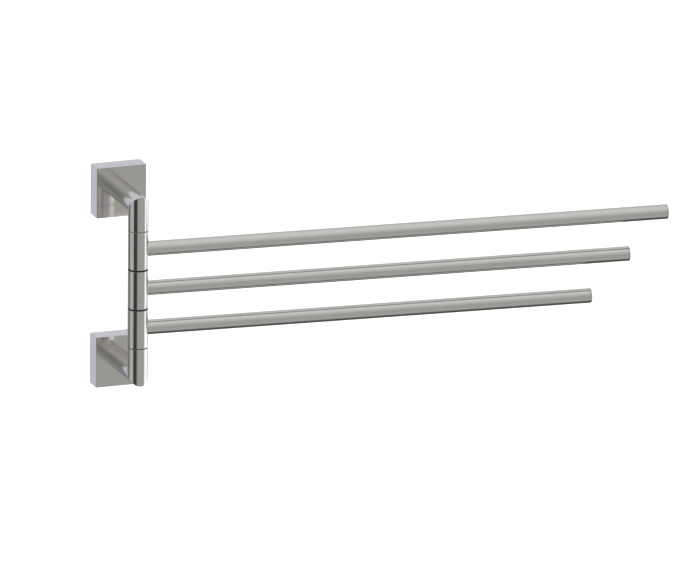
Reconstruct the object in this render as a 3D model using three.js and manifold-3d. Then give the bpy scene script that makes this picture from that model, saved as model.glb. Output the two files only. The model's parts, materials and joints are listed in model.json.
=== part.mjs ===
// Wall-mounted swing-arm towel rail.
//
// Two square escutcheons cover the wall brackets. From each one a round post leaves the wall and
// turns through a plain mitre into a vertical leg. Between the legs three hubs are stacked on one
// spindle, and each hub swings one round arm. The arms differ in length only.
//
// Millimetres, +Z up. The wall is the plane Y = 0 and -Y points into the room. The origin is the
// centre of the upper wall bracket's back face. The arms point along +X, a few degrees off the wall.

import * as THREE from 'three';
import { mergeVertices } from 'three/addons/utils/BufferGeometryUtils.js';
import Module from 'manifold-3d';

const wasm = await Module();
wasm.setup();

// ---- Driving dimensions ----------------------------------------------------------------------

const PLATE_SIDE = 50.8; // escutcheon, outside
const PLATE_DEPTH = 18.6; // wall to the escutcheon's front face
const PLATE_WALL = 1.6;
const PLATE_FRONT = 2.4;
const POST_SPACING = 171.4; // upper post axis to lower post axis
const POST_LENGTH = 49.2; // escutcheon's front face to the column's axis

const COLUMN_RADIUS = 10; // posts, legs and hubs
const ELBOW_WALL = 1.9;
const UPPER_LEG = 25.2; // upper post axis down to the end of the upper leg
const HUB_HEIGHT = 38.15;
const UPPER_JOINT = 0.5; // height of the joint between the upper leg and its hub
const HUB_JOINT = 1.6; // height of the joint between two hubs
const LOWER_JOINT = 0.75; // height of the joint between the lowest hub and the lower leg
const EDGE = 0.3; // chamfer on turned ends

const SPINDLE_RADIUS = 4;
const BUSH_RADIUS = 6;
const BUSH_LENGTH = 9;
const WASHER_INSET = 0.05; // air left above and below a washer in its joint
const FIT = 0.1; // radial room between an inner piece and its bore

const ARM_RADIUS = 7.25;
const ARM_WALL = 1.05;
const LONGEST_ARM = 532; // column's axis to the end of the top arm
const ARM_STEP = 38.3; // how much shorter each arm below is
const ARM_SEAT = 6.6; // column's axis to the floor of the hub's pocket for the arm
const CAP_RIM = 1.6;
const CAP_CHAMFER = 0.5;
const CAP_SPIGOT = 9;
const REST_SWING = 4.4; // degrees that the arms stand away from the wall's direction

const BRACKET_WIDTH = 36;
const BRACKET_DEPTH = 9;
const BRACKET_THICKNESS = 2.2;
const BRACKET_ROOT = 16.6; // half height at the wall
const BRACKET_LIP = 20; // half height at the front, so that the flanges form a dovetail
const WALL_SLOT_RADIUS = 2.5;
const WALL_SLOT_LENGTH = 9;
const WALL_SLOT_X = 11;

const GRUB_RADIUS = 2;
const GRUB_LENGTH = 6;
const GRUB_Y = -5.5; // the grub screw meets the dovetail's lower flange here
const BOSS_HALF_WIDTH = 4.5; // boss that carries the grub screw's thread
const BOSS_FRONT_Y = -11;
const BOSS_BACK_Y = -1.5;
const BOSS_HEIGHT = 2.5;
const BOLT_RADIUS = 3;
const BOLT_LENGTH = 16;
const BOLT_HEAD_RADIUS = 5;
const BOLT_HEAD_HEIGHT = 6;
const SPRING_WASHER = 1.2;
const INSERT_LENGTH = 14;
const SPRING_ROOM = 2.4; // height kept for the wave spring above the lower leg's insert

const ROUND = 36; // sides of the large round pieces
const SMALL_ROUND = 24; // sides of the small round pieces

// ---- Places worked out from them -------------------------------------------------------------

const AXIS_Y = -(PLATE_DEPTH + POST_LENGTH);
const PLATE_INSIDE_Y = -(PLATE_DEPTH - PLATE_FRONT);
const BORE_RADIUS = COLUMN_RADIUS - ELBOW_WALL;
const HUB_PITCH = HUB_HEIGHT + HUB_JOINT;
const TOP_HUB_Z = -UPPER_LEG - UPPER_JOINT; // upper face of the top hub
const LOWER_LEG_Z = TOP_HUB_Z - 2 * HUB_PITCH - HUB_HEIGHT - LOWER_JOINT;
const ARM_NAMES = ['upper', 'middle', 'lower'];

// ---- Materials -------------------------------------------------------------------------------

const FINISHES = {
  nickel: { color: 0x9a9892, roughness: 0.3, metalness: 1 },
  stainless: { color: 0xb4b5b6, roughness: 0.35, metalness: 1 },
  zinc: { color: 0xa9adb0, roughness: 0.5, metalness: 1 },
  brass: { color: 0xb59a5a, roughness: 0.4, metalness: 1 },
  black_nylon: { color: 0x1b1b1c, roughness: 0.6, metalness: 0 },
  white_nylon: { color: 0xe6e4dc, roughness: 0.55, metalness: 0 },
};

// ---- Geometry helpers ------------------------------------------------------------------------

// One closed skin with shared corners, no empty triangles, and its faces pointing out.
function closedSkin(geometry) {
  const bare = new THREE.BufferGeometry();
  bare.setAttribute('position', geometry.getAttribute('position').clone());
  if (geometry.index) bare.setIndex(geometry.index.clone());
  const merged = mergeVertices(bare, 1e-4);
  const corner = [new THREE.Vector3(), new THREE.Vector3(), new THREE.Vector3()];
  const source = merged.index.array;
  const kept = [];
  let sixVolumes = 0;
  for (let i = 0; i < source.length; i += 3) {
    const [a, b, c] = [source[i], source[i + 1], source[i + 2]];
    if (a === b || b === c || c === a) continue;
    kept.push(a, b, c);
    corner[0].fromBufferAttribute(merged.attributes.position, a);
    corner[1].fromBufferAttribute(merged.attributes.position, b);
    corner[2].fromBufferAttribute(merged.attributes.position, c);
    sixVolumes += corner[0].dot(corner[1].cross(corner[2]));
  }
  if (sixVolumes < 0) kept.reverse();
  merged.setIndex(kept);
  return merged;
}

function toSolid(geometry) {
  const skin = closedSkin(geometry);
  return new wasm.Manifold(new wasm.Mesh({
    numProp: 3,
    vertProperties: Float32Array.from(skin.attributes.position.array),
    triVerts: Uint32Array.from(skin.index.array),
  }));
}

function toGeometry(solid) {
  const mesh = solid.getMesh();
  const geometry = new THREE.BufferGeometry();
  geometry.setAttribute('position', new THREE.BufferAttribute(mesh.vertProperties, 3));
  geometry.setIndex(new THREE.BufferAttribute(mesh.triVerts, 1));
  return geometry;
}

// The first geometry with the others cut away.
function cut(geometry, ...tools) {
  const solid = tools.reduce((rest, tool) => rest.subtract(toSolid(tool)), toSolid(geometry));
  return toGeometry(solid);
}

function join(first, second) {
  return toGeometry(toSolid(first).add(toSolid(second)));
}

function box(x0, x1, y0, y1, z0, z1) {
  const geometry = new THREE.BoxGeometry(x1 - x0, y1 - y0, z1 - z0);
  return geometry.translate((x0 + x1) / 2, (y0 + y1) / 2, (z0 + z1) / 2);
}

// Turns a geometry made along +Z so that it runs along the named axis.
function alongAxis(geometry, axis) {
  if (axis === 'x') return geometry.rotateY(Math.PI / 2);
  if (axis === 'y') return geometry.rotateX(-Math.PI / 2);
  return geometry;
}

// A piece turned about the named axis, from [radius, distance along the axis] pairs.
// The profile starts and ends on the axis, or ends where it starts.
function turned(profile, axis = 'z', sides = ROUND) {
  const points = profile.map(([radius, along]) => new THREE.Vector2(radius, along));
  const lathe = new THREE.LatheGeometry(points, sides);
  return alongAxis(closedSkin(lathe).rotateX(Math.PI / 2), axis);
}

function rod(radius, from, to, axis = 'z', sides = ROUND, chamfer = 0) {
  const step = Math.sign(to - from) * chamfer;
  const profile = [[0, from], [radius - chamfer, from], [radius, from + step], [radius, to - step],
    [radius - chamfer, to], [0, to]];
  return turned(profile, axis, sides);
}

function sleeve(outer, inner, from, to, axis = 'z', sides = ROUND, chamfer = 0) {
  const step = Math.sign(to - from) * chamfer;
  const profile = [[inner, from], [outer - chamfer, from], [outer, from + step], [outer, to - step],
    [outer - chamfer, to], [inner, to], [inner, from]];
  return turned(profile, axis, sides);
}

// A six-sided hole of the given width across its flats.
function hexagon(flats, from, to, axis) {
  return rod(flats / Math.sqrt(3), from, to, axis, 6);
}

// A skin through closed loops of points, the last loop joined back to the first.
function skinThroughLoops(loops) {
  const sides = loops[0].length;
  const index = [];
  loops.forEach((loop, row) => {
    const next = (row + 1) % loops.length;
    for (let i = 0; i < sides; i += 1) {
      const j = (i + 1) % sides;
      index.push(row * sides + i, row * sides + j, next * sides + j);
      index.push(row * sides + i, next * sides + j, next * sides + i);
    }
  });
  const geometry = new THREE.BufferGeometry().setFromPoints(loops.flat());
  geometry.setIndex(index);
  return closedSkin(geometry);
}

// ---- Pieces on the wall ----------------------------------------------------------------------

// A dovetail channel: a back plate on the wall and two flanges that spread towards the front.
function wallBracket() {
  const flange = (side, inset) => [
    new THREE.Vector2(-BRACKET_DEPTH, side * (BRACKET_LIP - inset)),
    new THREE.Vector2(inset ? -inset : 0, side * (BRACKET_ROOT - inset)),
  ];
  const outline = [
    ...flange(1, 0),
    ...flange(-1, 0).reverse(),
    ...flange(-1, BRACKET_THICKNESS),
    ...flange(1, BRACKET_THICKNESS).reverse(),
  ];
  const channel = new THREE.ExtrudeGeometry(new THREE.Shape(outline), {
    depth: BRACKET_WIDTH,
    bevelEnabled: false,
  });
  channel.translate(0, 0, -BRACKET_WIDTH / 2);
  channel.applyMatrix4(new THREE.Matrix4().makeBasis(
    new THREE.Vector3(0, 1, 0),
    new THREE.Vector3(0, 0, 1),
    new THREE.Vector3(1, 0, 0),
  ));
  return cut(channel, wallSlot(-WALL_SLOT_X), wallSlot(WALL_SLOT_X));
}

// An upright slot through the bracket's back plate for one wall screw.
function wallSlot(x) {
  const reach = WALL_SLOT_LENGTH / 2 - WALL_SLOT_RADIUS;
  const outline = new THREE.Shape();
  outline.absarc(0, reach, WALL_SLOT_RADIUS, 0, Math.PI);
  outline.absarc(0, -reach, WALL_SLOT_RADIUS, Math.PI, 2 * Math.PI);
  const slot = new THREE.ExtrudeGeometry(outline, {
    depth: 2 * BRACKET_DEPTH,
    bevelEnabled: false,
    curveSegments: 8,
  });
  return slot.rotateX(Math.PI / 2).translate(x, BRACKET_DEPTH, 0);
}

// A hollow square cover, open at the wall, with a boss inside for the grub screw.
function escutcheon() {
  const half = PLATE_SIDE / 2;
  const inner = half - PLATE_WALL;
  const outside = box(-half, half, -PLATE_DEPTH, 0, -half, half);
  const hollow = box(-inner, inner, PLATE_INSIDE_Y, 1, -inner, inner);
  const boss = box(-BOSS_HALF_WIDTH, BOSS_HALF_WIDTH, BOSS_FRONT_Y, BOSS_BACK_Y,
    -half + PLATE_WALL / 2, -inner + BOSS_HEIGHT);
  const shell = join(cut(outside, hollow), boss);
  const boltHole = rod(BOLT_RADIUS + 0.3, -PLATE_DEPTH - 1, 0, 'y', SMALL_ROUND);
  const grubHole = rod(GRUB_RADIUS + FIT, -half - 1, -inner + 3, 'z', SMALL_ROUND);
  return cut(shell, boltHole, grubHole.translate(0, GRUB_Y, 0));
}

// A set screw with a hexagon socket at its start and a point at its end.
function setScrew(length, tipRadius) {
  const tip = GRUB_RADIUS - tipRadius;
  const body = turned([[0, 0], [GRUB_RADIUS - EDGE, 0], [GRUB_RADIUS, EDGE],
    [GRUB_RADIUS, length - tip], [tipRadius, length], [0, length]], 'z', SMALL_ROUND);
  return cut(body, hexagon(2, -1, 2.2, 'z'));
}

// A socket cap bolt along Y: its head is inside the escutcheon and its shank runs into the post.
function postBolt() {
  const seat = PLATE_INSIDE_Y + SPRING_WASHER + WASHER_INSET;
  const body = turned([
    [0, seat + BOLT_HEAD_HEIGHT],
    [BOLT_HEAD_RADIUS - EDGE, seat + BOLT_HEAD_HEIGHT],
    [BOLT_HEAD_RADIUS, seat + BOLT_HEAD_HEIGHT - EDGE],
    [BOLT_HEAD_RADIUS, seat],
    [BOLT_RADIUS, seat],
    [BOLT_RADIUS, seat - BOLT_LENGTH + 2 * EDGE],
    [BOLT_RADIUS - 2 * EDGE, seat - BOLT_LENGTH],
    [0, seat - BOLT_LENGTH],
  ], 'y', SMALL_ROUND);
  return cut(body, hexagon(5, seat + BOLT_HEAD_HEIGHT - 3, seat + BOLT_HEAD_HEIGHT + 1, 'y'));
}

// A split spring washer under the bolt's head.
function springWasher() {
  const from = PLATE_INSIDE_Y + WASHER_INSET;
  const whole = sleeve(BOLT_HEAD_RADIUS + 0.6, BOLT_RADIUS + 0.2, from,
    PLATE_INSIDE_Y + SPRING_WASHER, 'y', SMALL_ROUND);
  const split = box(-0.5, 0.5, from - 1, from + SPRING_WASHER + 1, 0, 2 * BOLT_HEAD_RADIUS);
  return cut(whole, split);
}

// ---- Column ----------------------------------------------------------------------------------

// One tube from the escutcheon to the leg's end, mitred where the post's axis meets the column's.
function elbow(postZ, legZ) {
  const up = Math.sign(legZ - postZ);
  const loop = (radius, place) => Array.from({ length: ROUND }, (_, i) => {
    const angle = (2 * Math.PI * i) / ROUND;
    return place(radius * Math.sin(angle), radius * Math.cos(angle));
  });
  const postEnd = (x, d) => new THREE.Vector3(x, -PLATE_DEPTH, postZ - up * d);
  const mitre = (x, d) => new THREE.Vector3(x, AXIS_Y - d, postZ - up * d);
  const legEnd = (x, d) => new THREE.Vector3(x, AXIS_Y - d, legZ);
  const legEdge = (x, d) => new THREE.Vector3(x, AXIS_Y - d, legZ - up * EDGE);
  return skinThroughLoops([
    loop(COLUMN_RADIUS, postEnd),
    loop(COLUMN_RADIUS, mitre),
    loop(COLUMN_RADIUS, legEdge),
    loop(COLUMN_RADIUS - EDGE, legEnd),
    loop(BORE_RADIUS, legEnd),
    loop(BORE_RADIUS, mitre),
    loop(BORE_RADIUS, postEnd),
  ]);
}

// A plug pressed into the bore of a post or a leg, with a hole for its bolt or for the spindle.
function threadedInsert(bore, from, to, axis = 'z') {
  return sleeve(BORE_RADIUS - FIT, bore, from, to, axis, SMALL_ROUND);
}

// A wavy ring between the lower leg's insert and the lowest washer, which presses the hubs together.
function waveSpring(z0, z1) {
  const thickness = 0.5;
  const waves = 3;
  const middle = (z0 + z1) / 2;
  const swing = (z1 - z0 - thickness) / 2 - WASHER_INSET;
  const loop = (radius, side) => Array.from({ length: 48 }, (_, i) => {
    const angle = (2 * Math.PI * i) / 48;
    const height = middle + swing * Math.cos(waves * angle) + (side * thickness) / 2;
    return new THREE.Vector3(radius * Math.cos(angle), AXIS_Y + radius * Math.sin(angle), height);
  });
  const outer = BORE_RADIUS - 0.4;
  const inner = SPINDLE_RADIUS + 0.4;
  return skinThroughLoops([loop(outer, -1), loop(outer, 1), loop(inner, 1), loop(inner, -1)]);
}

// ---- Arms, made along +X from the column's axis ------------------------------------------------

// A turned barrel with a counterbore for a bush at each end and a flat-bottomed pocket for the arm.
function hub(topZ) {
  const bottomZ = topZ - HUB_HEIGHT;
  const clear = SPINDLE_RADIUS + 0.4;
  const barrel = turned([
    [clear, bottomZ + BUSH_LENGTH + FIT],
    [BUSH_RADIUS + FIT, bottomZ + BUSH_LENGTH + FIT],
    [BUSH_RADIUS + FIT, bottomZ],
    [COLUMN_RADIUS - EDGE, bottomZ],
    [COLUMN_RADIUS, bottomZ + EDGE],
    [COLUMN_RADIUS, topZ - EDGE],
    [COLUMN_RADIUS - EDGE, topZ],
    [BUSH_RADIUS + FIT, topZ],
    [BUSH_RADIUS + FIT, topZ - BUSH_LENGTH - FIT],
    [clear, topZ - BUSH_LENGTH - FIT],
    [clear, bottomZ + BUSH_LENGTH + FIT],
  ]);
  const middle = (topZ + bottomZ) / 2;
  const pocket = rod(ARM_RADIUS + 0.15, ARM_SEAT, 2 * COLUMN_RADIUS, 'x');
  const studHole = rod(BOLT_RADIUS + FIT, 0, ARM_SEAT + 1, 'x', SMALL_ROUND);
  return cut(barrel, pocket.translate(0, 0, middle), studHole.translate(0, 0, middle));
}

// The pressed-in plug that closes the arm's free end.
function endCap(length) {
  const spigot = ARM_RADIUS - ARM_WALL - FIT;
  return turned([
    [0, length],
    [ARM_RADIUS - CAP_CHAMFER, length],
    [ARM_RADIUS, length - CAP_CHAMFER],
    [ARM_RADIUS, length - CAP_RIM],
    [spigot, length - CAP_RIM],
    [spigot, length - CAP_RIM - CAP_SPIGOT],
    [0, length - CAP_RIM - CAP_SPIGOT],
  ], 'x');
}

// ---- Assembly --------------------------------------------------------------------------------

const towelRail = new THREE.Group();

function add(parent, name, geometry, finish) {
  const mesh = new THREE.Mesh(geometry, new THREE.MeshStandardMaterial(FINISHES[finish]));
  mesh.name = name;
  parent.add(mesh);
  return mesh;
}

function addWallEnd(name, postZ, legZ) {
  const group = new THREE.Group();
  group.position.z = postZ;
  towelRail.add(group);
  add(group, `${name}_wall_bracket`, wallBracket(), 'zinc');
  add(group, `${name}_escutcheon`, escutcheon(), 'nickel');
  const grub = add(group, `${name}_grub_screw`, setScrew(GRUB_LENGTH, 0.6), 'stainless');
  grub.position.set(0, GRUB_Y, -PLATE_SIDE / 2 + FIT);
  add(group, `${name}_post_bolt`, postBolt(), 'stainless');
  add(group, `${name}_spring_washer`, springWasher(), 'stainless');
  const insertEnd = -PLATE_DEPTH - WASHER_INSET;
  const insertBore = BOLT_RADIUS + FIT;
  const insert = threadedInsert(insertBore, insertEnd, insertEnd - INSERT_LENGTH, 'y');
  add(group, `${name}_post_insert`, insert, 'brass');
  add(towelRail, `${name}_elbow`, elbow(postZ, legZ), 'nickel');
}

addWallEnd('upper', 0, -UPPER_LEG);
addWallEnd('lower', -POST_SPACING, LOWER_LEG_Z);

// The column's own pieces are made about the column's axis.
const column = new THREE.Group();
column.position.y = AXIS_Y;
towelRail.add(column);

const upperInsertTop = -UPPER_LEG + INSERT_LENGTH - 1;
const upperInsertBottom = -UPPER_LEG + WASHER_INSET;
const lowerInsertTop = LOWER_LEG_Z - SPRING_ROOM;
const lowerInsertBottom = lowerInsertTop - INSERT_LENGTH;
const spindleBore = SPINDLE_RADIUS + FIT;
const upperInsert = threadedInsert(spindleBore, upperInsertBottom, upperInsertTop);
add(column, 'upper_leg_insert', upperInsert, 'brass');

const spindle = rod(SPINDLE_RADIUS, lowerInsertBottom + 1, upperInsertTop - 1, 'z', SMALL_ROUND, 1);
add(column, 'spindle', spindle, 'stainless');

// The lock screw enters the lower leg from the wall side, passes the insert and meets the spindle.
const LOCK_Z = lowerInsertTop - INSERT_LENGTH / 2;
const lockHole = rod(GRUB_RADIUS + FIT, 0, 2 * COLUMN_RADIUS, 'y', SMALL_ROUND).translate(0, 0, LOCK_Z);
const lowerInsert = threadedInsert(spindleBore, lowerInsertBottom, lowerInsertTop);
add(column, 'lower_leg_insert', cut(lowerInsert, lockHole), 'brass');
const lowerElbow = towelRail.getObjectByName('lower_elbow');
lowerElbow.geometry = cut(lowerElbow.geometry, lockHole.clone().translate(0, AXIS_Y, 0));
const lockScrewSkin = setScrew(COLUMN_RADIUS - SPINDLE_RADIUS - 3 * FIT, GRUB_RADIUS - 2 * EDGE);
const lockScrew = add(column, 'spindle_lock_screw', lockScrewSkin.rotateX(Math.PI / 2), 'stainless');
lockScrew.position.set(0, COLUMN_RADIUS - 2 * FIT, LOCK_Z);

const spring = waveSpring(lowerInsertTop, LOWER_LEG_Z).translate(0, -AXIS_Y, 0);
add(column, 'wave_spring', spring, 'stainless');

// Washers: a thin one at each leg, set back a little, and a thicker one between hubs.
function addWasher(name, topZ, joint, radius) {
  const washer = sleeve(radius, SPINDLE_RADIUS + 0.2, topZ - joint + WASHER_INSET, topZ - WASHER_INSET);
  add(column, name, washer, 'black_nylon');
}

addWasher('upper_end_washer', -UPPER_LEG, UPPER_JOINT, COLUMN_RADIUS - EDGE);
addWasher('upper_hub_washer', TOP_HUB_Z - HUB_HEIGHT, HUB_JOINT, COLUMN_RADIUS);
addWasher('lower_hub_washer', TOP_HUB_Z - HUB_PITCH - HUB_HEIGHT, HUB_JOINT, COLUMN_RADIUS);
addWasher('lower_end_washer', LOWER_LEG_Z + LOWER_JOINT, LOWER_JOINT, COLUMN_RADIUS - EDGE);

function addArm(name, topZ, length) {
  const middle = topZ - HUB_HEIGHT / 2;
  const swing = new THREE.Group();
  swing.position.y = AXIS_Y;
  swing.rotation.z = THREE.MathUtils.degToRad(-REST_SWING);
  towelRail.add(swing);
  add(swing, `${name}_hub`, hub(topZ), 'nickel');

  const bushBore = SPINDLE_RADIUS + FIT;
  const bush = (from) => sleeve(BUSH_RADIUS, bushBore, from, from + BUSH_LENGTH, 'z', SMALL_ROUND);
  add(swing, `${name}_hub_top_bush`, bush(topZ - BUSH_LENGTH - WASHER_INSET), 'white_nylon');
  add(swing, `${name}_hub_bottom_bush`, bush(topZ - HUB_HEIGHT + WASHER_INSET), 'white_nylon');

  const arm = new THREE.Group();
  arm.position.z = middle;
  swing.add(arm);
  const start = ARM_SEAT + FIT;
  const bore = ARM_RADIUS - ARM_WALL;
  add(arm, `${name}_arm_tube`, sleeve(ARM_RADIUS, bore, start, length - CAP_RIM - FIT, 'x'), 'nickel');
  const plug = sleeve(bore - FIT, BOLT_RADIUS + FIT, start + FIT, start + INSERT_LENGTH, 'x', SMALL_ROUND);
  add(arm, `${name}_arm_plug`, plug, 'brass');
  const stud = rod(BOLT_RADIUS, SPINDLE_RADIUS + 1, start + INSERT_LENGTH - 1, 'x', SMALL_ROUND, 2 * EDGE);
  add(arm, `${name}_arm_stud`, stud, 'stainless');
  add(arm, `${name}_arm_end_cap`, endCap(length), 'nickel');
}

ARM_NAMES.forEach((name, i) => {
  addArm(name, TOP_HUB_Z - i * HUB_PITCH, LONGEST_ARM - i * ARM_STEP);
});

export default towelRail;
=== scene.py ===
"""Looks of a wall-mounted swing-arm towel rail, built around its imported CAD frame.

Metres, +Z up, the wall is the plane Y = 0 and -Y points into the room. Each piece is made again at a
fine resolution and placed by the frame's boxes and joints. Turned pieces are made in a local frame,
with their axis along local Z. The escutcheons and the elbows are made in place.
"""

import json
import math

import bmesh
import bpy
import numpy as np
from mathutils import Matrix, Vector


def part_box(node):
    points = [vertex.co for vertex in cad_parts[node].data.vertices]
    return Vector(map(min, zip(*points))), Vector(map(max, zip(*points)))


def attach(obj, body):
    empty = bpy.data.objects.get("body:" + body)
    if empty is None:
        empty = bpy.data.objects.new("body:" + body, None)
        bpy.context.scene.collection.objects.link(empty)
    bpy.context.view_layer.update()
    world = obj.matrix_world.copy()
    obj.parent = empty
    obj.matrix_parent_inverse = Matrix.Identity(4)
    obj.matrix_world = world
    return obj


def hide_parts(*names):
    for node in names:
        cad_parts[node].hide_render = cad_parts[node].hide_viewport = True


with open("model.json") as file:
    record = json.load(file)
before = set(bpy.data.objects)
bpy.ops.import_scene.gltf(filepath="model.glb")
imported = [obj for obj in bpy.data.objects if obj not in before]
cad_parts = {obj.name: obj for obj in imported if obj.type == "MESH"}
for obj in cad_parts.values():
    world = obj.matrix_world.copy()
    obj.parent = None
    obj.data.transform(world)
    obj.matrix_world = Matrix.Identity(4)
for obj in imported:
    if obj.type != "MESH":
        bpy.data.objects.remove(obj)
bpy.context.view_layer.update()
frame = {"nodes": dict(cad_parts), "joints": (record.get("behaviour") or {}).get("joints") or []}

MM = 0.001

# ---- Sizes that the frame doesn't hold -----------------------------------------------------------

ROUND_SIDES = 128
SMALL_SIDES = 96
ARC_STEPS = 5  # steps in each rounded edge

HUB_EDGE = 0.25 * MM
CAP_EDGE = 0.6 * MM
CAP_LEAD = 0.5 * MM  # rounding where the cap enters its tube
SEAM_EDGE = 0.15 * MM
PLATE_EDGE = 0.3 * MM
PLATE_CORNER = 0.4 * MM
FINE_EDGE = 0.1 * MM
MITRE_EDGE = 0.04 * MM

PLATE_WALL = 1.6 * MM
PLATE_FRONT = 2.4 * MM
BOSS_WALL = 2.5 * MM
BOSS_PLAN = (4.5 * MM, -11 * MM, -1.5 * MM)  # half width, front and back
BRACKET_THICKNESS = 2.2 * MM
BRACKET_ROOT = 16.6 * MM  # half height at the wall
WALL_SLOT = (2.5 * MM, 4.5 * MM)  # half width and half length
WALL_SLOT_X = 11 * MM
ELBOW_WALL = 1.9 * MM
ARM_WALL = 1.05 * MM
POCKET_GAP = 0.15 * MM  # round an arm in its hub's pocket
FIT = 0.1 * MM
BOLT_ROOM = 0.3 * MM
BOLT_RADIUS = 3 * MM
BOLT_HEAD_HEIGHT = 6 * MM
BOLT_HEX = (5 * MM, 3 * MM)  # across the flats of its socket, and the socket's depth
SET_SCREW_HEX = (2 * MM, 2.2 * MM)
BOLT_HEAD_EDGE = 0.5 * MM
KNURLS = 24
KNURL_START = 0.7 * MM  # from the top of the bolt's head
KNURL_STOP = 0.5 * MM  # from its seat
KNURL_DEPTH = 0.15 * MM
GRUB_TIP = 0.6 * MM
LOCK_TIP = 1.4 * MM
SPINDLE_ROOM = 0.4 * MM  # round the spindle in a hub and in the wave spring
WASHER_ROOM = 0.2 * MM  # round the spindle or a bolt in its washer
WASHER_SPRING = 0.15 * MM  # how far a split washer's ends stand apart
WASHER_SPLIT = 0.12  # half of its gap, in radians
SPRING_THICKNESS = 0.5 * MM
SPRING_WAVES = 3
M4_PITCH = 0.7 * MM
M6_PITCH = 1.0 * MM
STEPS_PER_PITCH = 6

BRACKET_INNER_BEND = 0.8 * MM
BRACKET_OUTER_BEND = 2.4 * MM
BRACKET_LIP_EDGE = 0.4 * MM
BRACKET_EDGE = 0.25 * MM
INSERT_EDGE = 0.3 * MM
BUSH_EDGE = 0.2 * MM
SET_SCREW_EDGE = 0.3 * MM
M6_EDGE = 0.6 * MM  # chamfer at the end of an M6 thread

# ---- Places from the frame -----------------------------------------------------------------------

ARMS = ("upper", "middle", "lower")
WALL_ENDS = ("upper", "lower")
ROOT = "fixed_column"

swing_joint = next(joint for joint in frame["joints"] if joint["child"] == "upper_arm")
rest_swing = math.radians(-swing_joint["range_deg"][0])
column_y = swing_joint["pos_m"][1]

COLUMN = Matrix.Translation((0, column_y, 0))
UPRIGHT_TO_X = Matrix.Rotation(math.pi / 2, 4, "Y")
UPRIGHT_TO_ROOM = Matrix.Rotation(math.pi / 2, 4, "X")  # local Z becomes -Y and local Y becomes Z
PROFILE_TO_X = Matrix(((0, 0, 1), (1, 0, 0), (0, 1, 0))).to_4x4()  # local X, Y, Z become Y, Z, X


def arm_place(height):
    """The frame of an arm: local Z runs along it from the column's axis."""
    turn = Matrix.Rotation(-rest_swing, 4, "Z")
    return Matrix.Translation((0, column_y, height)) @ turn @ UPRIGHT_TO_X


def wall_place(end):
    """The frame of a wall end: local Z runs from the wall along the post's axis."""
    return Matrix.Translation((0, 0, middle(f"{end}_escutcheon").z)) @ UPRIGHT_TO_ROOM


def lock_place():
    """The frame of the spindle's lock screw: local Z runs from the wall side to the spindle."""
    return Matrix.Translation((0, 0, middle("spindle_lock_screw").z)) @ UPRIGHT_TO_ROOM


def middle(node):
    """The centre of a CAD node's box."""
    low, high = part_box(node)
    return (low + high) / 2


def turned_size(node, place):
    """Radius of a turned CAD node, and where it starts and ends along its axis."""
    cad = frame["nodes"][node]
    back = place.inverted() @ cad.matrix_world
    points = np.array([back @ v.co for v in cad.data.vertices])
    return np.hypot(points[:, 0], points[:, 1]).max(), points[:, 2].min(), points[:, 2].max()


# ---- Mesh helpers --------------------------------------------------------------------------------


def rounded(corners, steps=ARC_STEPS):
    """A closed outline with an arc at each corner. Corners are (x, y, radius of the arc)."""
    outline = []
    for i, (x, y, radius) in enumerate(corners):
        here = Vector((x, y))
        to_last = Vector(corners[i - 1][:2]) - here
        to_next = Vector(corners[(i + 1) % len(corners)][:2]) - here
        half = to_last.angle(to_next) / 2
        reach = min(radius / math.tan(half), 0.5 * to_last.length, 0.5 * to_next.length)
        if reach < 1e-7:
            outline.append(here)
            continue
        arc_radius = reach * math.tan(half)
        towards = (to_last.normalized() + to_next.normalized()).normalized()
        centre = here + towards * (arc_radius / math.sin(half))
        start = here + to_last.normalized() * reach - centre
        end = here + to_next.normalized() * reach - centre
        turn = start.angle_signed(end)
        for step in range(steps + 1):
            spoke = start.copy()
            spoke.rotate(Matrix.Rotation(-turn * step / steps, 2))
            outline.append(centre + spoke)
    return outline


def inset(outline, distance):
    """The outline moved inwards by a small distance."""
    pairs = zip(outline, outline[1:] + outline[:1])
    side = math.copysign(distance, sum(here.cross(following) for here, following in pairs))
    moved = []
    for i, here in enumerate(outline):
        along = (outline[(i + 1) % len(outline)] - outline[i - 1]).normalized()
        moved.append(here + Vector((-along.y, along.x)) * side)
    return moved


def finished_mesh(name, shape):
    """A mesh from a bmesh, welded and with its faces turned outwards."""
    bmesh.ops.remove_doubles(shape, verts=shape.verts, dist=1e-8)
    bmesh.ops.recalc_face_normals(shape, faces=shape.faces)
    mesh = bpy.data.meshes.new(name)
    shape.to_mesh(mesh)
    shape.free()
    return mesh


def mesh_from_loops(name, loops, closed=True):
    """A skin through loops of points. It joins its last loop to the first, or caps both."""
    shape = bmesh.new()
    rows = [[shape.verts.new(point) for point in loop] for loop in loops]
    pairs = list(zip(rows, rows[1:] + rows[:1]))
    for row, following in pairs if closed else pairs[:-1]:
        for i in range(len(row)):
            j = (i + 1) % len(row)
            shape.faces.new((row[i], row[j], following[j], following[i]))
    if not closed:
        shape.faces.new(rows[0])
        shape.faces.new(rows[-1])
    return finished_mesh(name, shape)


def turned_mesh(name, outline, sides, cut_depth=None):
    """A solid of revolution about local Z. The outline's points are (radius, height).

    cut_depth(height, angle) says how deep a thread or a knurl goes there.
    """
    shape = bmesh.new()
    rows = []
    for radius, height in outline:
        if radius < 1e-7:
            rows.append([shape.verts.new((0, 0, height))])
            continue
        row = []
        for i in range(sides):
            angle = 2 * math.pi * i / sides
            reach = radius - cut_depth(height, angle) if cut_depth else radius
            row.append(shape.verts.new((reach * math.cos(angle), reach * math.sin(angle), height)))
        rows.append(row)
    for row, following in zip(rows, rows[1:] + rows[:1]):
        if len(row) == 1 and len(following) == 1:
            continue
        for i in range(sides):
            j = (i + 1) % sides
            ring = [row[i % len(row)], row[j % len(row)]]
            ring += [following[j % len(following)], following[i % len(following)]]
            shape.faces.new(list(dict.fromkeys(ring)))
    return finished_mesh(name, shape)


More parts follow.
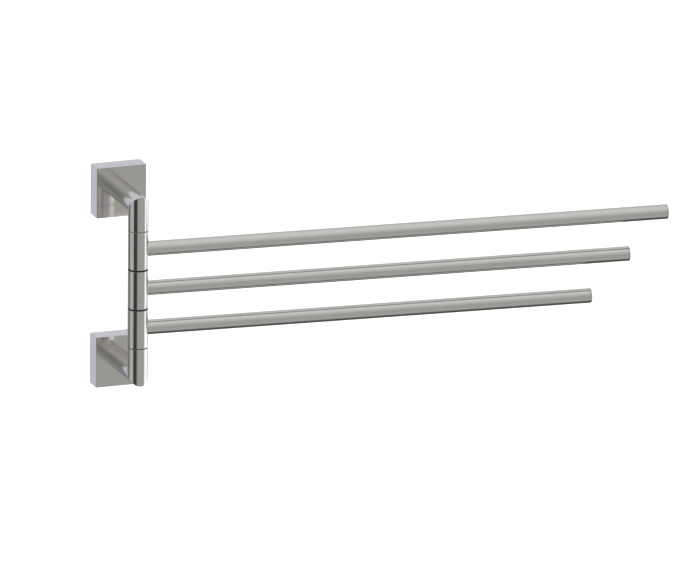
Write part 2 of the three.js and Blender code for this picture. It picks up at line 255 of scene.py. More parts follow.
def piece_of(name, mesh, place=Matrix.Identity(4)):
    piece = bpy.data.objects.new(name, mesh)
    piece.matrix_world = place
    bpy.context.scene.collection.objects.link(piece)
    return piece


def turned(name, corners, place, sides=ROUND_SIDES, cut_depth=None, step=None):
    """A turned piece. Corners are (radius, height, rounding); step divides its long sides."""
    outline = rounded(corners)
    if step:
        divided = []
        for here, following in zip(outline, outline[1:] + outline[:1]):
            count = max(1, round(abs(following.y - here.y) / step))
            divided += [here.lerp(following, i / count) for i in range(count)]
        outline = divided
    return piece_of(name, turned_mesh(name, outline, sides, cut_depth), place)


def rod(name, radius, low, high, place, edge=0, sides=SMALL_SIDES):
    """A solid cylinder along local Z."""
    corners = [(0, low, 0), (radius, low, edge), (radius, high, edge), (0, high, 0)]
    return turned(name, corners, place, sides)


def sleeve(name, outer, inner, low, high, place, edge=FINE_EDGE):
    """A hollow cylinder along local Z."""
    return turned(name, [
        (inner, low, edge / 2),
        (outer, low, edge),
        (outer, high, edge),
        (inner, high, edge / 2),
    ], place)


def prism(name, outline, low, high, place=Matrix.Identity(4), edge=0):
    """An outline in local X and Y, extruded along local Z, with its end edges rounded."""
    loops = []
    for end, inward in ((low, 1), (high, -1)):
        rounding = []
        for i in range(ARC_STEPS + 1 if edge else 1):
            angle = math.pi / 2 * i / ARC_STEPS
            height = end + inward * edge * (1 - math.sin(angle))
            shrunk = inset(outline, edge * (1 - math.cos(angle)))
            rounding.append([Vector((*point, height)) for point in shrunk])
        loops += rounding[::-inward]
    return piece_of(name, mesh_from_loops(name, loops, closed=False), place)


def swept_ring(name, section, angles, place, closed=True):
    """A ring about local Z. section(angle) gives its outline there as (radius, height) points."""
    loops = []
    for angle in angles:
        spoke = Vector((math.cos(angle), math.sin(angle), 0))
        loops.append([spoke * radius + Vector((0, 0, height)) for radius, height in section(angle)])
    return piece_of(name, mesh_from_loops(name, loops, closed), place)


def small_section(inner, outer, low, high):
    """The outline of a thin ring, for swept_ring."""
    return rounded([
        (inner, low, FINE_EDGE),
        (outer, low, FINE_EDGE),
        (outer, high, FINE_EDGE),
        (inner, high, FINE_EDGE),
    ], 3)


def hexagon(flats, low, high, place):
    """A six-sided prism, measured across its flats."""
    radius = flats / math.sqrt(3)
    spokes = [math.radians(angle) for angle in range(0, 360, 60)]
    outline = [Vector((radius * math.cos(spoke), radius * math.sin(spoke))) for spoke in spokes]
    return prism("hexagon", outline, low, high, place)


def carve(piece, *tools, operation="DIFFERENCE"):
    """Cuts the tools out of a piece, or joins them to it, and removes the tools."""
    for tool in tools:
        change = piece.modifiers.new("carve", "BOOLEAN")
        change.operation = operation
        change.solver = "EXACT"
        change.object = tool
    bpy.context.view_layer.update()
    evaluated = piece.evaluated_get(bpy.context.evaluated_depsgraph_get())
    carved = bpy.data.meshes.new_from_object(evaluated)
    carved.name = piece.name
    piece.modifiers.clear()
    piece.data = carved
    for tool in tools:
        bpy.data.objects.remove(tool)


def ridge(turns):
    """A triangle wave from 0 to 1."""
    return abs(turns % 1 - 0.5) * 2


def thread(pitch, low, high):
    """The depth of a screw thread that runs out at both ends."""
    def depth(height, angle):
        run = max(0, min(1, (height - low) / pitch, (high - height) / pitch))
        return 0.5 * pitch * run * ridge(height / pitch - angle / (2 * math.pi))
    return depth


LOCAL_Z = (Vector((0, 0, 0)), Vector((0, 0, 1)))
WALL_LEAN = 0.02  # how far a turned wall's normal may lean along the axis
WALL_FACING = 0.997  # how squarely it has to face away from the axis or towards it
FLAT_AREA = 0.4 * MM * MM  # larger faces are shaded flat
BRACKET_FLAT_AREA = 40 * MM * MM


def shade(mesh, axes=(LOCAL_Z,), flat_area=FLAT_AREA):
    """Exact normals: radial on walls turned about an axis, flat on large faces, else smooth."""
    mesh.polygons.foreach_set("use_smooth", [True] * len(mesh.polygons))
    smooth = [Vector(v.normal) for v in mesh.vertices]
    normals = [None] * len(mesh.loops)
    for face in mesh.polygons:
        for loop in face.loop_indices:
            index = mesh.loops[loop].vertex_index
            normals[loop] = face.normal if face.area > flat_area else smooth[index]
            for origin, direction in axes:
                spoke = mesh.vertices[index].co - origin
                spoke = (spoke - direction * spoke.dot(direction)).normalized()
                facing = face.normal.dot(spoke)
                if abs(face.normal.dot(direction)) < WALL_LEAN and abs(facing) > WALL_FACING:
                    normals[loop] = spoke * math.copysign(1, facing)
                    break
    mesh.normals_split_custom_set(normals)


def finish_piece(piece, body, slot, material=None, **shading):
    """Gives a piece its shading and material, and lets it ride in place of its CAD node."""
    shade(piece.data, **shading)
    piece.data.materials.clear()
    piece.data.materials.append(material or SLOT_MATERIALS[slot])
    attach(piece, body)
    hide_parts(piece.name.removesuffix("_fine"))


# ---- Materials -----------------------------------------------------------------------------------


NOISE_RANGE = (0.3, 0.7)  # where most of a noise texture's values lie
CLOUD_SCALE = 55.0
SMUDGE_SCALE = 14.0
PEBBLE_SCALE = 2500.0
NYLON_CLOUD_SCALE = 150.0
PEBBLE_DEPTH = 0.02 * MM


class Nodes:
    """A short way to write a node tree."""

    def __init__(self, tree):
        self.tree = tree

    def add(self, kind, **inputs):
        node = self.tree.nodes.new(kind)
        for key, value in inputs.items():
            if hasattr(node, key) and key not in node.inputs:
                setattr(node, key, value)
            else:
                self.feed(node.inputs[key.replace("_", " ")], value)
        return node

    def feed(self, socket, value):
        if isinstance(value, bpy.types.NodeSocket):
            self.tree.links.new(value, socket)
        else:
            socket.default_value = value

    def math(self, operation, first, second=0.0):
        node = self.tree.nodes.new("ShaderNodeMath")
        node.operation = operation
        self.feed(node.inputs[0], first)
        self.feed(node.inputs[1], second)
        return node.outputs[0]

    def blend(self, first, first_share, second, second_share):
        """The weighted sum of two values."""
        return self.math(
            "ADD",
            self.math("MULTIPLY", first, first_share),
            self.math("MULTIPLY", second, second_share),
        )

    def scaled(self, vector, scale):
        node = self.tree.nodes.new("ShaderNodeMapping")
        node.inputs["Scale"].default_value = scale
        self.feed(node.inputs["Vector"], vector)
        return node.outputs[0]

    def noise(self, vector, scale=1.0, detail=3.0, roughness=0.5):
        node = self.tree.nodes.new("ShaderNodeTexNoise")
        self.feed(node.inputs["Vector"], vector)
        node.inputs["Scale"].default_value = scale
        node.inputs["Detail"].default_value = detail
        node.inputs["Roughness"].default_value = roughness
        return node.outputs[0]

    def between(self, value, low, high, start=0.0, end=1.0):
        """value from start to end, spread over low to high."""
        node = self.tree.nodes.new("ShaderNodeMapRange")
        self.feed(node.inputs["Value"], value)
        node.inputs["From Min"].default_value = start
        node.inputs["From Max"].default_value = end
        node.inputs["To Min"].default_value = low
        node.inputs["To Max"].default_value = high
        return node.outputs[0]

    def mix(self, share, first, second):
        node = self.tree.nodes.new("ShaderNodeMix")
        node.data_type = "RGBA"
        self.feed(node.inputs[0], share)
        self.feed(node.inputs[6], first)
        self.feed(node.inputs[7], second)
        return node.outputs[2]


def new_material(name):
    material = bpy.data.materials.new(name)
    material.use_nodes = True
    return material, Nodes(material.node_tree), material.node_tree.nodes["Principled BSDF"]


def brushed_metal(name, light, dark, across, roughness, depth, rim=1.0, turn=0.0):
    """Brushed metal. across is the grain's scale along X, Y and Z: large across the hairlines.

    rim says how bright its surface stays where it turns out of sight, and turn is how far the grain
    is turned about Z.
    """
    material, nodes, shader = new_material(name)
    place = nodes.add("ShaderNodeTexCoord").outputs["Object"]
    if turn:
        place = nodes.add("ShaderNodeMapping", Vector=place, Rotation=(0, 0, turn)).outputs[0]
    hairlines = nodes.noise(nodes.scaled(place, across), 1.0, 5.0, 0.65)
    clouds = nodes.noise(place, CLOUD_SCALE, 3.0, 0.55)
    smudges = nodes.noise(place, SMUDGE_SCALE, 2.0, 0.5)
    tone = nodes.blend(hairlines, 0.6, clouds, 0.4)
    colour = nodes.mix(nodes.between(tone, 0, 1, *NOISE_RANGE), dark, light)
    nodes.feed(shader.inputs["Base Color"], colour)
    spread = nodes.blend(hairlines, 0.5, smudges, 0.5)
    nodes.feed(shader.inputs["Roughness"], nodes.between(spread, *roughness, *NOISE_RANGE))
    shader.inputs["Metallic"].default_value = 1.0
    shader.inputs["Specular Tint"].default_value = (rim, rim, rim, 1)
    bump = nodes.add("ShaderNodeBump", Height=hairlines, Strength=0.35, Distance=depth)
    nodes.feed(shader.inputs["Normal"], bump.outputs[0])
    return material


def moulded_plastic(name, light, dark, roughness):
    """Moulded nylon: a fine pebbled skin with slightly uneven colour and gloss."""
    material, nodes, shader = new_material(name)
    place = nodes.add("ShaderNodeTexCoord").outputs["Object"]
    pebbles = nodes.noise(place, PEBBLE_SCALE, 3.0, 0.6)
    clouds = nodes.noise(place, NYLON_CLOUD_SCALE, 3.0, 0.5)
    colour = nodes.mix(nodes.between(clouds, 0, 1, *NOISE_RANGE), dark, light)
    nodes.feed(shader.inputs["Base Color"], colour)
    nodes.feed(shader.inputs["Roughness"], nodes.between(pebbles, *roughness, *NOISE_RANGE))
    bump = nodes.add("ShaderNodeBump", Height=pebbles, Strength=0.3, Distance=PEBBLE_DEPTH)
    nodes.feed(shader.inputs["Normal"], bump.outputs[0])
    return material


TURNED_GRAIN = (90, 90, 4200)
ARM_GRAIN = (4200, 90, 90)
UPRIGHT_GRAIN = (4200, 4200, 90)
NICKEL_LIGHT = (0.88, 0.865, 0.828, 1)
NICKEL_DARK = (0.814, 0.80, 0.763, 1)
NICKEL_DEPTH = 0.002 * MM
NICKEL_RIM = 0.72


def nickel(name, grain, roughness, turn=0.0):
    """The finish of the escutcheons, elbows, hubs and arms."""
    return brushed_metal(
        name, NICKEL_LIGHT, NICKEL_DARK, grain, roughness, NICKEL_DEPTH, NICKEL_RIM, turn
    )


turned_nickel = nickel("turned_nickel", TURNED_GRAIN, (0.11, 0.17))
arm_nickel = nickel("arm_nickel", ARM_GRAIN, (0.11, 0.17), rest_swing)
plate_nickel = nickel("plate_nickel", UPRIGHT_GRAIN, (0.12, 0.15))
stainless = brushed_metal(
    "stainless",
    light=(0.80, 0.80, 0.79, 1),
    dark=(0.68, 0.68, 0.68, 1),
    across=TURNED_GRAIN,
    roughness=(0.22, 0.34),
    depth=0.004 * MM,
)
zinc_plate = brushed_metal(
    "zinc_plate",
    light=(0.78, 0.82, 0.84, 1),
    dark=(0.60, 0.63, 0.66, 1),
    across=(400, 400, 400),
    roughness=(0.3, 0.5),
    depth=0.01 * MM,
)
brass = brushed_metal(
    "brass",
    light=(0.90, 0.66, 0.28, 1),
    dark=(0.76, 0.54, 0.22, 1),
    across=TURNED_GRAIN,
    roughness=(0.2, 0.32),
    depth=0.004 * MM,
)
black_nylon = moulded_plastic(
    "black_nylon", (0.012, 0.012, 0.013, 1), (0.006, 0.006, 0.006, 1), (0.45, 0.6)
)
white_nylon = moulded_plastic(
    "white_nylon", (0.80, 0.78, 0.72, 1), (0.70, 0.68, 0.62, 1), (0.4, 0.55)
)
SLOT_MATERIALS = {
    "brushed_nickel": turned_nickel,
    "stainless": stainless,
    "zinc_plate": zinc_plate,
    "brass": brass,
    "black_nylon": black_nylon,
    "white_nylon": white_nylon,
}

# ---- Pieces on the wall --------------------------------------------------------------------------


def make_escutcheon(end):
    """A hollow square cover with a hole for the post's bolt and a boss for the grub screw."""
    name = f"{end}_escutcheon_fine"
    low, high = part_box(f"{end}_escutcheon")
    centre_z = (low.z + high.z) / 2
    half = (high.x - low.x) / 2
    steps = [math.pi / 2 * i / ARC_STEPS for i in range(ARC_STEPS + 1)]

    def square(inwards, y):
        side = half - inwards
        corner = max(PLATE_CORNER - inwards, FINE_EDGE / 2)
        outline = rounded([
            (-side, -side, corner),
            (side, -side, corner),
            (side, side, corner),
            (-side, side, corner),
        ], 8)
        return [Vector((x, y, centre_z + z)) for x, z in outline]

    def circle(y):
        spokes = [Vector((point.x, 0, point.z - centre_z)).normalized() for point in square(0, y)]
        return [Vector((0, y, centre_z)) + spoke * (BOLT_RADIUS + BOLT_ROOM) for spoke in spokes]

    def edge(y, size, inward):
        return [square(size * (1 - math.cos(t)), y + inward * size * (1 - math.sin(t))) for t in steps]

    loops = [square(PLATE_WALL, high.y)]
    loops += edge(high.y, FINE_EDGE, -1)[::-1]
    loops += edge(low.y, PLATE_EDGE, 1)
    loops += [circle(low.y), circle(low.y + PLATE_FRONT), square(PLATE_WALL, low.y + PLATE_FRONT)]
    cover = piece_of(name, mesh_from_loops(name, loops))

    grub = middle(f"{end}_grub_screw")
    grub_radius = turned_size(f"{end}_grub_screw", Matrix.Identity(4))[0]
    side, front, back = BOSS_PLAN
    plan = rounded([
        (-side, front, FINE_EDGE),
        (side, front, FINE_EDGE),
        (side, back, FINE_EDGE),
        (-side, back, FINE_EDGE),
    ])
    boss_top = low.z + PLATE_WALL + BOSS_WALL
    boss = prism("boss", plan, low.z + PLATE_WALL / 2, boss_top)
    carve(cover, boss, operation="UNION")
    grub_axis = Matrix.Translation((grub.x, grub.y, 0))
    carve(cover, rod("hole", grub_radius + FIT, low.z - MM, boss_top + MM, grub_axis))
    axes = (
        (Vector((0, 0, centre_z)), Vector((0, 1, 0))),
        (Vector((grub.x, grub.y, 0)), Vector((0, 0, 1))),
    )
    finish_piece(cover, ROOT, "brushed_nickel", plate_nickel, axes=axes)


def make_bracket(end):
    """A pressed dovetail channel with two upright slots for wall screws."""
    low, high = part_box(f"{end}_wall_bracket")
    lip, depth, thickness, root = (high.z - low.z) / 2, -low.y, BRACKET_THICKNESS, BRACKET_ROOT
    upper_half = [
        (-thickness, root - thickness, BRACKET_INNER_BEND),
        (-depth, lip - thickness, BRACKET_LIP_EDGE),
        (-depth, lip, BRACKET_LIP_EDGE),
        (0, root, BRACKET_OUTER_BEND),
    ]
    lower_half = [(y, -z, radius) for y, z, radius in reversed(upper_half)]
    place = Matrix.Translation((0, 0, (low.z + high.z) / 2)) @ PROFILE_TO_X
    outline = rounded(upper_half + lower_half)
    bracket = prism(f"{end}_wall_bracket_fine", outline, low.x, high.x, place, BRACKET_EDGE)
    width, length = WALL_SLOT
    slot = rounded([
        (-width, -length, width),
        (width, -length, width),
        (width, length, width),
        (-width, length, width),
    ], 16)
    for x in (-WALL_SLOT_X, WALL_SLOT_X):
        slot_place = Matrix.Translation((x, 0, 0)) @ wall_place(end)
        carve(bracket, prism("slot", slot, -MM, 2 * thickness, slot_place))
    finish_piece(bracket, ROOT, "zinc_plate", flat_area=BRACKET_FLAT_AREA)


def make_set_screw(node, place, tip_radius):
    """A threaded set screw with a hexagon socket where its axis starts."""
    radius, low, high = turned_size(node, place)
    taper_start = high - (radius - tip_radius)
    flats, socket = SET_SCREW_HEX
    screw = turned(f"{node}_fine", [
        (0, low, 0),
        (radius - SET_SCREW_EDGE, low, 0),
        (radius, low + SET_SCREW_EDGE, 0),
        (radius, taper_start, 0),
        (tip_radius, high, 0),
        (0, high, 0),
    ], place, SMALL_SIDES, thread(M4_PITCH, low, taper_start), M4_PITCH / STEPS_PER_PITCH)
    carve(screw, hexagon(flats, low - MM, low + socket, place))
    finish_piece(screw, ROOT, "stainless")


def make_post_bolt(end):
    """A socket cap bolt with a knurled head inside the escutcheon and its shank in the post."""
    place = wall_place(end)
    radius, low, high = turned_size(f"{end}_post_bolt", place)
    seat = low + BOLT_HEAD_HEIGHT
    shank = thread(M6_PITCH, seat + MM, high)
    flats, socket = BOLT_HEX

    def cut_depth(height, angle):
        knurled = low + KNURL_START < height < seat - KNURL_STOP
        if knurled:
            return KNURL_DEPTH * ridge(KNURLS * angle / (2 * math.pi))
        return shank(height, angle)

    bolt = turned(f"{end}_post_bolt_fine", [
        (0, low, 0),
        (radius, low, BOLT_HEAD_EDGE),
        (radius, seat, FINE_EDGE),
        (BOLT_RADIUS, seat, 0),
        (BOLT_RADIUS, high - M6_EDGE, 0),
        (BOLT_RADIUS - M6_EDGE, high, 0),
        (0, high, 0),
    ], place, SMALL_SIDES, cut_depth, M6_PITCH / STEPS_PER_PITCH)
    carve(bolt, hexagon(flats, low - MM, low + socket, place))
    finish_piece(bolt, ROOT, "stainless")


def make_spring_washer(end):
    """A split ring under the bolt's head, sprung open a little at its ends."""
    place = wall_place(end)
    outer, low, high = turned_size(f"{end}_spring_washer", place)
    inner = BOLT_RADIUS + WASHER_ROOM

    def section(angle):
        start = low + WASHER_SPRING * (angle - math.pi / 2) / (2 * math.pi)
        return small_section(inner, outer, start, start + high - low - WASHER_SPRING)

    angles = np.linspace(math.pi / 2 + WASHER_SPLIT, 2.5 * math.pi - WASHER_SPLIT, SMALL_SIDES)
    washer = swept_ring(f"{end}_spring_washer_fine", section, angles, place, closed=False)
    finish_piece(washer, ROOT, "stainless")


# ---- Column --------------------------------------------------------------------------------------


def make_elbow(end):
    """A post and a leg in one tube with a plain mitre between them."""
    name = f"{end}_elbow_fine"
    low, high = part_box(f"{end}_elbow")
    outer = (high.x - low.x) / 2
    bore = outer - ELBOW_WALL
    post_z = middle(f"{end}_escutcheon").z
    up = math.copysign(1, (low.z + high.z) / 2 - post_z)
    leg_z = high.z if up > 0 else low.z

    def loop(radius, place):
        spokes = [2 * math.pi * i / ROUND_SIDES for i in range(ROUND_SIDES)]
        return [Vector(place(radius * math.sin(spoke), radius * math.cos(spoke))) for spoke in spokes]

    def at_wall(x, d):
        return x, high.y, post_z - up * d

    def mitre_on_post(x, d):
        return x, column_y - d + MITRE_EDGE, post_z - up * d

    def mitre_on_leg(x, d):
        return x, column_y - d, post_z - up * (d - MITRE_EDGE)

    def leg_end(inwards):
        return lambda x, d: (x, column_y - d, leg_z - up * inwards)

    loops = [loop(outer, at_wall), loop(outer, mitre_on_post), loop(outer, mitre_on_leg)]
    for i in range(ARC_STEPS + 1):
        angle = math.pi / 2 * i / ARC_STEPS
        radius = outer - HUB_EDGE * (1 - math.cos(angle))
        loops.append(loop(radius, leg_end(HUB_EDGE * (1 - math.sin(angle)))))
    loops += [loop(bore, place) for place in (leg_end(0), mitre_on_leg, mitre_on_post, at_wall)]
    elbow = piece_of(name, mesh_from_loops(name, loops))
    if end == "lower":
        lock_radius, lock_start, lock_end = turned_size("spindle_lock_screw", lock_place())
        hole = rod("hole", lock_radius + FIT, lock_start - MM, lock_end, lock_place())
        carve(elbow, hole)
    axes = (
        (Vector((0, column_y, 0)), Vector((0, 0, 1))),
        (Vector((0, 0, post_z)), Vector((0, 1, 0))),
    )
    finish_piece(elbow, ROOT, "brushed_nickel", axes=axes)


def make_inserts():
    """Brass inserts in the posts for their bolts and in the legs for the spindle."""
    spindle_radius = turned_size("spindle", COLUMN)[0]
    for end in WALL_ENDS:
        for kind, place, bore in (
            ("post", wall_place(end), BOLT_RADIUS + FIT),
            ("leg", COLUMN, spindle_radius + FIT),
        ):
            node = f"{end}_{kind}_insert"
            outer, low, high = turned_size(node, place)
            insert = sleeve(f"{node}_fine", outer, bore, low, high, place, INSERT_EDGE)
            if node == "lower_leg_insert":
                lock_radius, lock_start, _ = turned_size("spindle_lock_screw", lock_place())
                hole = rod("hole", lock_radius + FIT, lock_start, -column_y, lock_place())
                carve(insert, hole)
            finish_piece(insert, ROOT, "brass")


def make_spindle():
    """A plain rod through the hubs. Its thread into the upper leg isn't modelled."""
    radius, low, high = turned_size("spindle", COLUMN)
    spindle = turned("spindle_fine", [
        (0, low, 0),
        (radius - MM, low, FINE_EDGE),
        (radius, low + MM, FINE_EDGE),
        (radius, high - MM, FINE_EDGE),
        (radius - MM, high, FINE_EDGE),
        (0, high, 0),
    ], COLUMN, SMALL_SIDES)
    finish_piece(spindle, ROOT, "stainless")


def make_washers():
    """Black nylon washers: thin ones at the legs and thicker ones between the hubs."""
    bore = turned_size("spindle", COLUMN)[0] + WASHER_ROOM
    for node in ("upper_end_washer", "upper_hub_washer", "lower_hub_washer", "lower_end_washer"):
        outer, low, high = turned_size(node, COLUMN)
        washer = sleeve(f"{node}_fine", outer, bore, low, high, COLUMN)
        finish_piece(washer, ROOT, "black_nylon")


def make_wave_spring():
    """A thin ring that waves up and down between the lower leg's insert and the washer."""
    outer, low, high = turned_size("wave_spring", COLUMN)
    inner = turned_size("spindle", COLUMN)[0] + SPINDLE_ROOM
    swing = (high - low - SPRING_THICKNESS) / 2

    def section(angle):
        top = (low + high) / 2 + swing * math.cos(SPRING_WAVES * angle) + SPRING_THICKNESS / 2
        bottom = top - SPRING_THICKNESS
        return small_section(inner, outer, bottom, top)

    angles = [2 * math.pi * i / ROUND_SIDES for i in range(ROUND_SIDES)]
    spring = swept_ring("wave_spring_fine", section, angles, COLUMN)
    finish_piece(spring, ROOT, "stainless")


# ---- Arms ----------------------------------------------------------------------------------------


def make_hub(arm, place):
    """A barrel with a counterbore for a bush at each end and a flat-bottomed pocket for the arm."""
    outer, low, high = turned_size(f"{arm}_hub", COLUMN)
    bore = turned_size("spindle", COLUMN)[0] + SPINDLE_ROOM
    bush_radius, bush_low, _ = turned_size(f"{arm}_hub_top_bush", COLUMN)
    counterbore = bush_radius + FIT
    depth = high - bush_low + FIT / 2
    hub = turned(f"{arm}_hub_fine", [
        (bore, low + depth, 0),
        (counterbore, low + depth, 0),
        (counterbore, low, FINE_EDGE),
        (outer, low, HUB_EDGE),
        (outer, high, HUB_EDGE),
        (counterbore, high, FINE_EDGE),
        (counterbore, high - depth, 0),
        (bore, high - depth, 0),
    ], COLUMN)
    tube_radius, tube_start, _ = turned_size(f"{arm}_arm_tube", place)
    seat = tube_start - FIT
    pocket = rod("pocket", tube_radius + POCKET_GAP, seat, 2 * outer, place, sides=ROUND_SIDES)
    carve(hub, pocket, rod("hole", BOLT_RADIUS + FIT, 0, seat + MM, place))
    pocket_axis = COLUMN.inverted() @ place
    direction = (pocket_axis.to_3x3() @ Vector((0, 0, 1))).normalized()
    axes = (LOCAL_Z, (pocket_axis.translation, direction))
    finish_piece(hub, f"{arm}_arm", "brushed_nickel", axes=axes)


def make_bushes(arm):
    """The two nylon sleeves that an arm's hub turns on."""
    bore = turned_size("spindle", COLUMN)[0] + FIT
    for side in ("top", "bottom"):
        node = f"{arm}_hub_{side}_bush"
        outer, low, high = turned_size(node, COLUMN)
        bush = sleeve(f"{node}_fine", outer, bore, low, high, COLUMN, BUSH_EDGE)
        finish_piece(bush, f"{arm}_arm", "white_nylon")


def make_arm(arm):
    """A whole arm: its hub and bushes, then the tube, end cap, plug and stud."""
    body = f"{arm}_arm"
    place = arm_place(middle(f"{arm}_hub").z)
    make_hub(arm, place)
    make_bushes(arm)

    radius, low, high = turned_size(f"{arm}_arm_tube", place)
    bore = radius - ARM_WALL
    tube = sleeve(f"{arm}_arm_tube_fine", radius, bore, low, high, place, SEAM_EDGE)

    _, cap_low, cap_high = turned_size(f"{arm}_arm_end_cap", place)
    cap = turned(f"{arm}_arm_end_cap_fine", [
        (0, cap_low, 0),
        (bore - FIT, cap_low, CAP_LEAD),
        (bore - FIT, high + FIT, 0),
        (radius, high + FIT, SEAM_EDGE),
        (radius, cap_high, CAP_EDGE),
        (0, cap_high, 0),
    ], place)
    axis = (place.translation, place.to_3x3() @ Vector((0, 0, 1)))
    for piece in (tube, cap):
        piece.data.transform(place)
        piece.matrix_world = Matrix.Identity(4)
        finish_piece(piece, body, "brushed_nickel", arm_nickel, axes=(axis,))

    outer, low, high = turned_size(f"{arm}_arm_plug", place)
    plug = sleeve(
        f"{arm}_arm_plug_fine", outer, BOLT_RADIUS + FIT, low, high, place, INSERT_EDGE
    )
    finish_piece(plug, body, "brass")

    radius, low, high = turned_size(f"{arm}_arm_stud", place)
    stud = turned(f"{arm}_arm_stud_fine", [
        (0, low, 0),
        (radius - M6_EDGE, low, 0),
        (radius, low + M6_EDGE, 0),
        (radius, high - M6_EDGE, 0),
        (radius - M6_EDGE, high, 0),
        (0, high, 0),
    ], place, SMALL_SIDES, thread(M6_PITCH, low, high), M6_PITCH / STEPS_PER_PITCH)
    finish_piece(stud, body, "stainless")


for end in WALL_ENDS:
    make_bracket(end)
    make_escutcheon(end)
    grub_place = Matrix.Translation((0, middle(f"{end}_grub_screw").y, 0))
    make_set_screw(f"{end}_grub_screw", grub_place, GRUB_TIP)
    make_post_bolt(end)
    make_spring_washer(end)
    make_elbow(end)
make_inserts()
make_spindle()
make_set_screw("spindle_lock_screw", lock_place(), LOCK_TIP)
make_wave_spring()
make_washers()
for arm in ARMS:
    make_arm(arm)

# ---- Camera --------------------------------------------------------------------------------------

VIEW_AZIMUTH = math.radians(-19.4)
VIEW_ELEVATION = math.radians(16.56)
VIEW_ROLL = 0.0049
FRAME_WIDTH = 0.680
FRAME_CENTRE_RIGHT = 0.2219  # from the centre of the upper escutcheon's front face
FRAME_CENTRE_DOWN = 0.0910
CAMERA_DISTANCE = 3.0
FLOOR_HALF_SIZE = 60
FLOOR_Z = -0.9
FLOOR_GLOW = 0.8


def make_camera():
    """A parallel-projection camera to the left of the rail and a little above it."""
    back = Vector((
        math.sin(VIEW_AZIMUTH) * math.cos(VIEW_ELEVATION),
        -math.cos(VIEW_AZIMUTH) * math.cos(VIEW_ELEVATION),
        math.sin(VIEW_ELEVATION),
    ))
    turn = (-back).to_track_quat("-Z", "Y") @ Matrix.Rotation(VIEW_ROLL, 3, "Z").to_quaternion()
    right, up = turn @ Vector((1, 0, 0)), turn @ Vector((0, 1, 0))
    low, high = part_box("upper_escutcheon")
    plate_front = Vector((0, low.y, (low.z + high.z) / 2))
    data = bpy.data.cameras.new("camera")
    data.type = "ORTHO"
    data.ortho_scale = FRAME_WIDTH
    data.clip_end = 100
    camera = bpy.data.objects.new("camera", data)
    centre = plate_front + right * FRAME_CENTRE_RIGHT - up * FRAME_CENTRE_DOWN
    camera.location = centre + back * CAMERA_DISTANCE
    camera.rotation_mode = "QUATERNION"
    camera.rotation_quaternion = turn
    bpy.context.scene.collection.objects.link(camera)
    bpy.context.scene.camera = camera


# ---- Studio --------------------------------------------------------------------------------------


def make_floor():
    """A plain pale floor far below the rail. It isn't mirrored in the metal."""
    shape = bmesh.new()
    bmesh.ops.create_grid(shape, x_segments=1, y_segments=1, size=FLOOR_HALF_SIZE)
    mesh = bpy.data.meshes.new("floor")
    shape.to_mesh(mesh)
    shape.free()
    floor = piece_of("floor", mesh, Matrix.Translation((0, 0, FLOOR_Z)))
    material, _, shader = new_material("floor")
    shader.inputs["Base Color"].default_value = (0.9, 0.9, 0.9, 1)
    shader.inputs["Roughness"].default_value = 0.9
    shader.inputs["Emission Color"].default_value = (1, 1, 1, 1)
    shader.inputs["Emission Strength"].default_value = FLOOR_GLOW
    mesh.materials.append(material)
    floor.visible_glossy = False
    floor.visible_diffuse = False


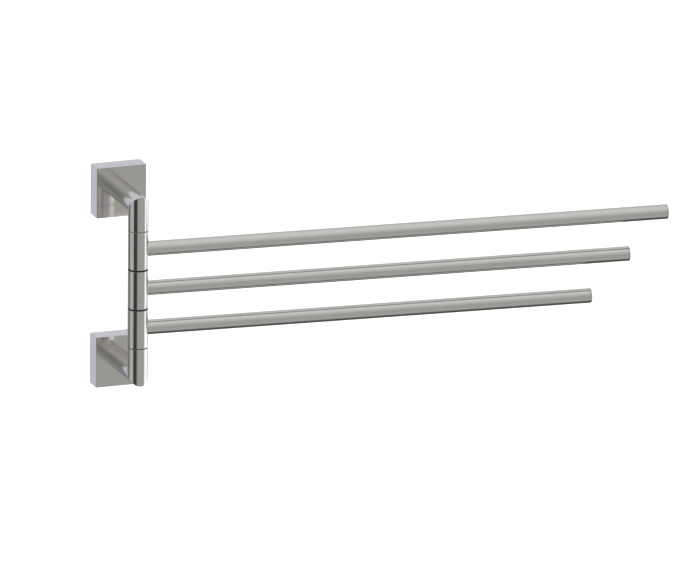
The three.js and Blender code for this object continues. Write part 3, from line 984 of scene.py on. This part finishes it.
def make_studio_light():
    """A soft studio all round: pale walls, a bright bank to the right and dark flags to the left."""
    world = bpy.data.worlds.new("studio")
    world.use_nodes = True
    bpy.context.scene.world = world
    nodes = Nodes(world.node_tree)
    background = world.node_tree.nodes["Background"]
    direction = nodes.add("ShaderNodeTexCoord").outputs["Generated"]
    parts = nodes.add("ShaderNodeSeparateXYZ", Vector=direction).outputs
    into_room = nodes.math("MULTIPLY", parts[1], -1)
    bearing = nodes.math("MULTIPLY", nodes.math("ARCTAN2", parts[0], into_room), 180 / math.pi)
    height = nodes.math("MULTIPLY", nodes.math("ARCSINE", parts[2]), 180 / math.pi)

    def ramp(value, reach, stops):
        """Brightness over -reach to reach degrees, from (angle, level or colour) stops."""
        node = nodes.tree.nodes.new("ShaderNodeValToRGB")
        nodes.feed(node.inputs[0], nodes.between(value, 0, 1, -reach, reach))
        elements = node.color_ramp.elements
        while len(elements) < len(stops):
            elements.new(0.5)
        for element, (at, level) in zip(elements, stops):
            element.position = (at + reach) / (2 * reach)
            element.color = (*(level if isinstance(level, tuple) else (level,) * 3), 1)
        return node.outputs[0]

    def layer(start, full, fading, end):
        """1 between full and fading degrees of height, and 0 below start and above end."""
        rising = nodes.between(height, 0, 1, start, full)
        return nodes.math("MULTIPLY", rising, nodes.between(height, 1, 0, fading, end))

    # Brightness by height, in front of the rail and behind it.
    front = ramp(height, 90, [
        (-90, 0.07), (-72, 0.09), (-66, 0.31), (-60, 0.41), (-44, 0.41), (-14, 0.372), (0, 0.382),
        (24, 0.478), (58, 0.655), (90, 0.65),
    ])
    rear = ramp(height, 90, [
        (-90, 0.07), (-60, 0.08), (-45, 0.11), (-30, 0.34), (-17, (0.68, 0.671, 0.80)),
        (17, (0.78, 0.773, 0.908)), (24, 0.66), (35, 0.52), (52, 0.546), (60, 0.634), (90, 0.65),
    ])
    # Brightness by bearing: 0 in front, 90 to the right, -90 to the left. The flags and the bright
    # bank are strongest in a belt a little below the rail, where the light from behind is warmer.
    # All of these levels were chosen to bring the metal's brightness close to the picture's.
    gentle = ramp(bearing, 180, [
        (-180, 1.1), (-165, 1.0), (-160, 1.0), (-155, 0.85), (-145, 0.6), (-125, 0.6), (-110, 1.15),
        (-78, 1.15), (-64, 0.5), (-26, 0.55), (-19, 0.88), (-14, 1.0), (56, 1.0), (75, 0.8), (110, 0.8),
        (150, 1.0), (180, 1.1),
    ])
    cream, dim_cream = (0.78, 0.77, 0.63), (0.345, 0.34, 0.277)
    strong = ramp(bearing, 180, [
        (-180, dim_cream), (-170, dim_cream), (-164, 1.04), (-156, 1.04), (-151, 0.16), (-128, 0.16),
        (-112, 1.3), (-78, 1.3), (-64, 0.04), (-34, 0.04), (-27, 0.66), (-19, 0.92), (-13, 1.0),
        (56, 1.0), (69, 3.5), (106, 3.5), (120, 2.0), (138, cream), (160, dim_cream), (180, dim_cream),
    ])
    behind = nodes.between(nodes.math("ABSOLUTE", bearing), 0, 1, 110, 140)
    level = nodes.mix(behind, front, rear)
    belt = layer(-27, -22, -16, -12)
    band = layer(-62, -48, 35, 50)
    banded = nodes.mix(band, (1, 1, 1, 1), nodes.mix(belt, gentle, strong))
    studio = nodes.tree.nodes.new("ShaderNodeMix")
    studio.data_type = "RGBA"
    studio.blend_type = "MULTIPLY"
    studio.inputs[0].default_value = 1.0
    nodes.feed(studio.inputs[6], level)
    nodes.feed(studio.inputs[7], banded)
    seen = nodes.add("ShaderNodeLightPath").outputs["Is Camera Ray"]
    nodes.feed(background.inputs["Color"], nodes.mix(seen, studio.outputs[2], (1, 1, 1, 1)))
    background.inputs["Strength"].default_value = 1.0


make_camera()
make_floor()
make_studio_light()
bpy.context.scene.view_settings.view_transform = "Standard"
